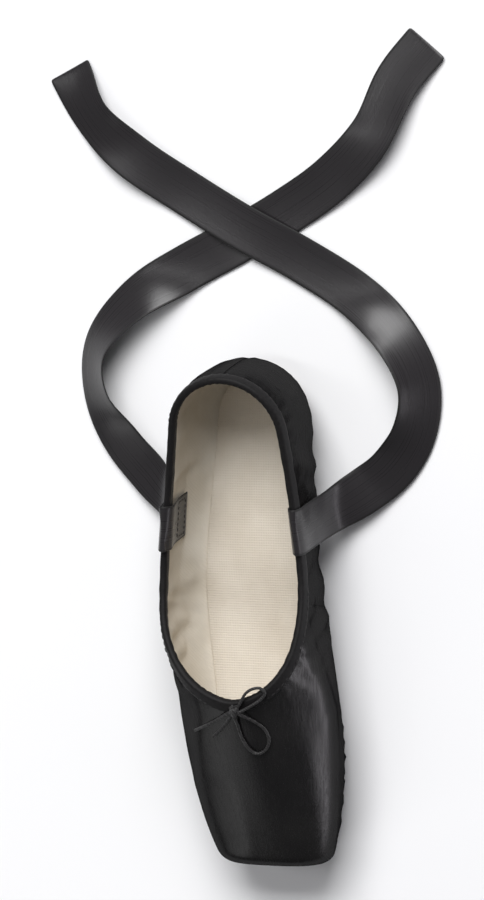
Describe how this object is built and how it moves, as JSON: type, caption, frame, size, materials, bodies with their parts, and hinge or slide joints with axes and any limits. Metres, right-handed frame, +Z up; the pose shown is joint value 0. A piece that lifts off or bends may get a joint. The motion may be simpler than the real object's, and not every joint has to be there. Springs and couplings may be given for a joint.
{
  "type": "ballet pointe shoe",
  "caption": "Black satin ballet pointe shoe for a right foot, with a hard flat-ended toe box, round throat with a drawstring bow, thin leather sole and long satin ribbons laid out behind.",
  "frame": {"origin": "on the floor, under the middle of the shoe's own footprint, the free ribbons and cords left out", "axes": "+X to the toe, +Y to the big-toe side of the right foot, +Z up"},
  "size_m": [0.3891, 0.1942, 0.0631],
  "materials": {
    "satin": "black satin",
    "casing_tape": "black bias tape",
    "ribbon_satin": "black satin ribbon",
    "cotton_cord": "black cotton cord",
    "sole_leather": "bare tan leather",
    "sock_cloth": "natural cotton"
  },
  "bodies": {
    "root": {"upper": "satin", "topline_casing": "casing_tape", "outsole": "sole_leather", "insole": "sock_cloth", "ribbon_medial": "ribbon_satin", "ribbon_lateral": "ribbon_satin", "drawstring_knot": "cotton_cord", "drawstring_loop_low": "cotton_cord", "drawstring_loop_high": "cotton_cord", "drawstring_end_long": "cotton_cord", "drawstring_end_short": "cotton_cord"}
  },
  "joints": []
}
